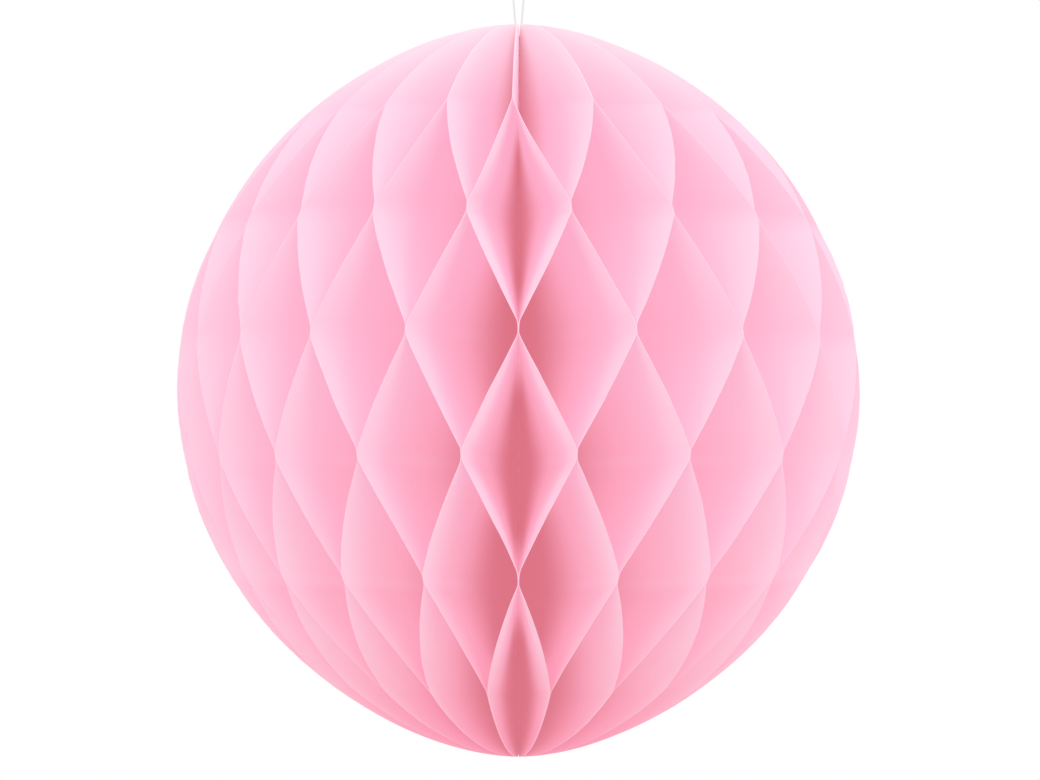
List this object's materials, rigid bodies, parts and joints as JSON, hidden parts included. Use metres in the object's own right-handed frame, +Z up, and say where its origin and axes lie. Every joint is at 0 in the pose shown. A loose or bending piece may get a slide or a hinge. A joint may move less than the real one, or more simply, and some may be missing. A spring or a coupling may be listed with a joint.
{
  "type": "honeycomb paper ball",
  "caption": "Hanging decoration: half-disc tissue paper leaves glued in alternate rows round an upright spine, opened into a ball of diamond cells, with a thread loop at the top.",
  "frame": {"origin": "middle of the ball, on the axis of its spine, half way between the two poles", "axes": "+Z up along the spine towards the hanging loop, -Y towards the seam where the first and the last leaf meet, +X to the right of someone who faces the seam"},
  "size_m": [0.1857, 0.186, 0.2297],
  "materials": {
    "tissue": "matt, translucent pink tissue paper",
    "spine": "tissue edges stitched and glued together",
    "thread": "white twisted cotton thread"
  },
  "bodies": {
    "root": {"tissue_leaf_01": "tissue", "tissue_leaf_02": "tissue", "tissue_leaf_03": "tissue", "tissue_leaf_04": "tissue", "tissue_leaf_05": "tissue", "tissue_leaf_06": "tissue", "tissue_leaf_07": "tissue", "tissue_leaf_08": "tissue", "tissue_leaf_09": "tissue", "tissue_leaf_10": "tissue", "tissue_leaf_11": "tissue", "tissue_leaf_12": "tissue", "tissue_leaf_13": "tissue", "tissue_leaf_14": "tissue", "tissue_leaf_15": "tissue", "tissue_leaf_16": "tissue", "tissue_leaf_17": "tissue", "tissue_leaf_18": "tissue", "tissue_leaf_19": "tissue", "tissue_leaf_20": "tissue", "tissue_leaf_21": "tissue", "tissue_leaf_22": "tissue", "tissue_leaf_23": "tissue", "tissue_leaf_24": "tissue", "tissue_leaf_25": "tissue", "tissue_leaf_26": "tissue", "tissue_leaf_27": "tissue", "tissue_leaf_28": "tissue", "tissue_leaf_29": "tissue", "tissue_leaf_30": "tissue", "tissue_leaf_31": "tissue", "tissue_leaf_32": "tissue", "tissue_leaf_33": "tissue", "tissue_leaf_34": "tissue", "tissue_leaf_35": "tissue", "tissue_leaf_36": "tissue", "tissue_leaf_37": "tissue", "tissue_leaf_38": "tissue", "tissue_leaf_39": "tissue", "tissue_leaf_40": "tissue", "spine_binding": "spine", "hanging_loop": "thread"}
  },
  "joints": []
}
